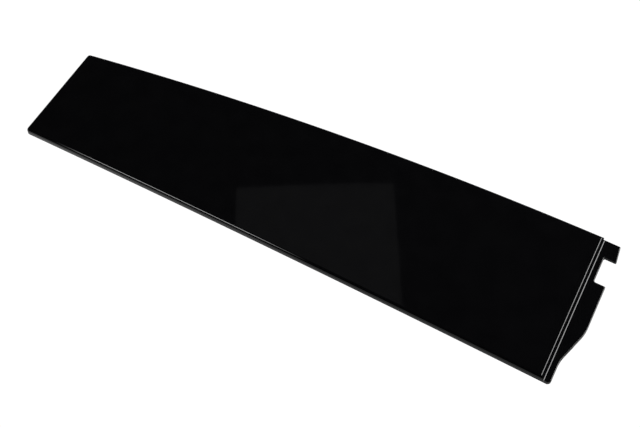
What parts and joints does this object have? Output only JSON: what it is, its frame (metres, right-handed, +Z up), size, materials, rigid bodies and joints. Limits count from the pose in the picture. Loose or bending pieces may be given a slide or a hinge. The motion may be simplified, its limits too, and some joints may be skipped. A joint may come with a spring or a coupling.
{
  "type": "door pillar trim plate",
  "caption": "Long tapered gloss black trim plate for a vehicle door pillar, with a return flange, a stepped and notched tab, and a carrier with push-in clips behind it.",
  "frame": {"origin": "on the surface the plate stands on, under the middle of its bounding box", "axes": "+X along the plate towards its wide, notched end; +Z up through the gloss face; +Y across the plate, to the side that the lug is on"},
  "size_m": [0.4473, 0.1271, 0.0327],
  "materials": {
    "gloss_cover": "piano black, high gloss",
    "carrier_plastic": "fine moulded grain, matt",
    "clip_nylon": "natural nylon, satin",
    "seal_foam": "closed-cell foam, matt",
    "nut_steel": "zinc-plated spring steel",
    "bond_tape": "grey acrylic foam",
    "liner_film": "red polyethylene film, satin",
    "felt": "black needled felt"
  },
  "bodies": {
    "plate": {"outer_cover": "gloss_cover", "inner_carrier": "carrier_plastic", "retainer_clip_1": "clip_nylon", "clip_seal_1": "seal_foam", "push_nut_1": "nut_steel", "push_nut_2": "nut_steel", "push_nut_3": "nut_steel", "push_nut_4": "nut_steel", "push_nut_5": "nut_steel", "push_nut_6": "nut_steel", "bond_tape_far": "bond_tape", "bond_tape_near": "bond_tape", "tape_liner_far": "liner_film", "tape_liner_near": "liner_film", "end_foam_narrow": "seal_foam", "end_foam_wide": "seal_foam", "felt_pad_tab": "felt", "felt_pad_lug": "felt"},
    "clip_2": {"retainer_clip_2": "clip_nylon", "clip_seal_2": "seal_foam"},
    "clip_3": {"retainer_clip_3": "clip_nylon", "clip_seal_3": "seal_foam"},
    "clip_4": {"retainer_clip_4": "clip_nylon", "clip_seal_4": "seal_foam"},
    "clip_5": {"retainer_clip_5": "clip_nylon", "clip_seal_5": "seal_foam"},
    "clip_6": {"retainer_clip_6": "clip_nylon", "clip_seal_6": "seal_foam"}
  },
  "joints": [
    {"name": "clip_2_float", "type": "slide", "parent": "plate", "child": "clip_2", "axis": [1, 0, 0], "range_m": [-0.0015, 0.0015]},
    {"name": "clip_3_float", "type": "slide", "parent": "plate", "child": "clip_3", "axis": [1, 0, 0], "range_m": [-0.0015, 0.0015]},
    {"name": "clip_4_float", "type": "slide", "parent": "plate", "child": "clip_4", "axis": [1, 0, 0], "range_m": [-0.0015, 0.0015]},
    {"name": "clip_5_float", "type": "slide", "parent": "plate", "child": "clip_5", "axis": [1, 0, 0], "range_m": [-0.0015, 0.0015]},
    {"name": "clip_6_float", "type": "slide", "parent": "plate", "child": "clip_6", "axis": [1, 0, 0], "range_m": [-0.0015, 0.0015]}
  ]
}
